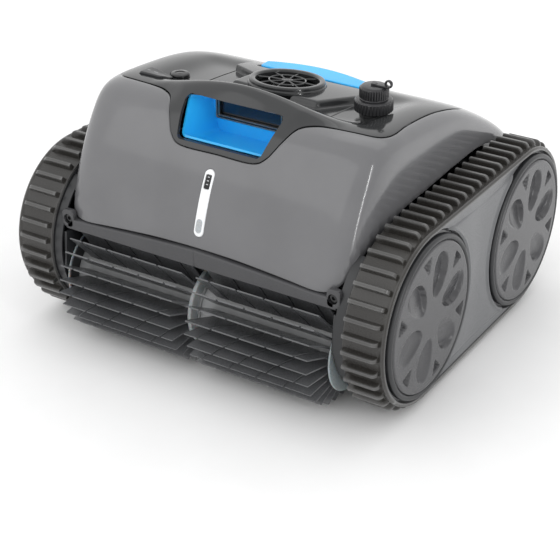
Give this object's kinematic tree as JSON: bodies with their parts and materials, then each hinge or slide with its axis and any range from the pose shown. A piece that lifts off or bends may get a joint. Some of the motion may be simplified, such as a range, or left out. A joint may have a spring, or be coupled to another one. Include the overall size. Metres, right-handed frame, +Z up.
{
  "type": "pool cleaner",
  "caption": "Tracked pool-cleaning robot with a grey shell, a front brush roller, a carrying bar and a lift-out filter cartridge with a water outlet.",
  "frame": {"origin": "middle of the footprint, on the floor under the tracks", "axes": "+X across the machine, to the right as seen from in front, -Y its front with the brush, +Z up"},
  "size_m": [0.414, 0.399, 0.2737],
  "materials": {
    "shell_grey": "gloss moulded",
    "deck_dark": "satin moulded",
    "blue_gloss": "gloss moulded",
    "window_glass": "smoked clear",
    "window_metal": "satin",
    "light_bar": "frosted",
    "black_gloss": "gloss",
    "board_green": "matt",
    "black_rubber": "matt",
    "knurled_black": "satin moulded",
    "chassis_dark": "satin moulded",
    "bumper_grey": "satin moulded",
    "cover_grey": "satin moulded",
    "track_rubber": "moulded rubber",
    "wheel_grey": "satin moulded",
    "gear_nylon": "natural nylon",
    "steel": "turned",
    "brush_pvc": "soft moulded",
    "brush_core": "satin moulded",
    "motor_shell": "anodised",
    "brass": "turned",
    "impeller_white": "satin",
    "battery_blue": "shrink sleeve",
    "potting_black": "matt",
    "filter_plastic": "satin moulded",
    "filter_cloth": "fine mesh"
  },
  "bodies": {
    "chassis": {"top_shell": "shell_grey", "deck_panel": "deck_dark", "handle_liner": "blue_gloss", "inspection_window": "window_glass", "window_frame": "window_metal", "led_lens": "light_bar", "led_display": "black_gloss", "status_lens": "black_gloss", "switch_board": "board_green", "charge_socket": "knurled_black", "socket_seal": "black_rubber", "chassis_tub": "chassis_dark", "brush_hood": "chassis_dark", "front_bumper": "bumper_grey", "bumper_screws": "steel", "rear_bumper": "bumper_grey", "side_frame_left": "chassis_dark", "side_frame_right": "chassis_dark", "side_cover_left": "cover_grey", "side_cover_right": "cover_grey", "track_left": "track_rubber", "track_right": "track_rubber", "wheel_axles": "steel", "brush_bearings": "gear_nylon", "brush_support": "chassis_dark", "drive_motor_left": "motor_shell", "drive_motor_right": "motor_shell", "pump_motor": "motor_shell", "pump_duct": "chassis_dark", "duct_seal": "black_rubber", "battery_pack": "battery_blue", "control_box": "potting_black"},
    "wheel_front_right": {"wheel_front_right": "wheel_grey", "wheel_gear_front_right": "gear_nylon"},
    "wheel_rear_right": {"wheel_rear_right": "wheel_grey", "wheel_gear_rear_right": "gear_nylon"},
    "brush_right": {"brush_core_right": "brush_core", "brush_vanes_right": "brush_pvc", "brush_gear_right": "gear_nylon"},
    "pinion_right": {"motor_pinion_right": "brass"},
    "wheel_front_left": {"wheel_front_left": "wheel_grey", "wheel_gear_front_left": "gear_nylon"},
    "wheel_rear_left": {"wheel_rear_left": "wheel_grey", "wheel_gear_rear_left": "gear_nylon"},
    "brush_left": {"brush_core_left": "brush_core", "brush_vanes_left": "brush_pvc", "brush_gear_left": "gear_nylon"},
    "pinion_left": {"motor_pinion_left": "brass"},
    "impeller": {"pump_impeller": "impeller_white"},
    "cartridge": {"filter_hatch": "deck_dark", "outlet_grille": "deck_dark", "filter_basket": "filter_plastic", "filter_mesh": "filter_cloth", "latch_pin": "steel"},
    "latch": {"latch_handle": "blue_gloss"},
    "mode_button": {"mode_pad": "deck_dark"},
    "port_cap": {"charge_cap": "knurled_black"},
    "flap_right": {"inlet_flap_right": "chassis_dark"},
    "flap_left": {"inlet_flap_left": "chassis_dark"}
  },
  "joints": [
    {"name": "wheel_front_right_spin", "type": "hinge", "parent": "chassis", "child": "wheel_front_right", "pos_m": [0, -0.1025, 0.0897], "axis": [1, 0, 0], "continuous": true},
    {"name": "wheel_rear_right_spin", "type": "hinge", "parent": "chassis", "child": "wheel_rear_right", "pos_m": [0, 0.1025, 0.0897], "axis": [1, 0, 0], "continuous": true},
    {"name": "brush_right_spin", "type": "hinge", "parent": "chassis", "child": "brush_right", "pos_m": [0, -0.13961, 0.06045], "axis": [1, 0, 0], "continuous": true},
    {"name": "pinion_right_spin", "type": "hinge", "parent": "chassis", "child": "pinion_right", "pos_m": [0, 0.0605, 0.0897], "axis": [1, 0, 0], "continuous": true},
    {"name": "wheel_front_left_spin", "type": "hinge", "parent": "chassis", "child": "wheel_front_left", "pos_m": [0, -0.1025, 0.0897], "axis": [1, 0, 0], "continuous": true},
    {"name": "wheel_rear_left_spin", "type": "hinge", "parent": "chassis", "child": "wheel_rear_left", "pos_m": [0, 0.1025, 0.0897], "axis": [1, 0, 0], "continuous": true},
    {"name": "brush_left_spin", "type": "hinge", "parent": "chassis", "child": "brush_left", "pos_m": [0, -0.13961, 0.06045], "axis": [1, 0, 0], "continuous": true},
    {"name": "pinion_left_spin", "type": "hinge", "parent": "chassis", "child": "pinion_left", "pos_m": [0, 0.0605, 0.0897], "axis": [1, 0, 0], "continuous": true},
    {"name": "impeller_spin", "type": "hinge", "parent": "chassis", "child": "impeller", "pos_m": [0, -0.0163, 0.09], "axis": [0, 0, 1], "continuous": true},
    {"name": "cartridge_lift", "type": "slide", "parent": "chassis", "child": "cartridge", "axis": [0, 0, 1], "range_m": [0, 0.18]},
    {"name": "latch_hinge", "type": "hinge", "parent": "cartridge", "child": "latch", "pos_m": [0, 0.064, 0.2213], "axis": [-1, 0, 0], "range_deg": [0, 70]},
    {"name": "mode_button_press", "type": "slide", "parent": "chassis", "child": "mode_button", "axis": [0, 0, -1], "range_m": [0, 0.0012], "stiffness_N_per_m": 400},
    {"name": "port_cap_turn", "type": "hinge", "parent": "chassis", "child": "port_cap", "pos_m": [0.102, -0.031, 0.25], "axis": [0, 0, 1], "range_deg": [0, 360]},
    {"name": "flap_right_hinge", "type": "hinge", "parent": "chassis", "child": "flap_right", "pos_m": [0.043, -0.018, 0.0295], "axis": [0, -1, 0], "range_deg": [0, 50]},
    {"name": "flap_left_hinge", "type": "hinge", "parent": "chassis", "child": "flap_left", "pos_m": [-0.043, -0.018, 0.0295], "axis": [0, 1, 0], "range_deg": [0, 50]}
  ],
  "couplings": [
    {"joint": "wheel_rear_right_spin", "follows": "wheel_front_right_spin", "ratio": 1},
    {"joint": "brush_right_spin", "follows": "wheel_front_right_spin", "ratio": -2},
    {"joint": "pinion_right_spin", "follows": "wheel_front_right_spin", "ratio": -3},
    {"joint": "wheel_rear_left_spin", "follows": "wheel_front_left_spin", "ratio": 1},
    {"joint": "brush_left_spin", "follows": "wheel_front_left_spin", "ratio": -2},
    {"joint": "pinion_left_spin", "follows": "wheel_front_left_spin", "ratio": -3}
  ]
}
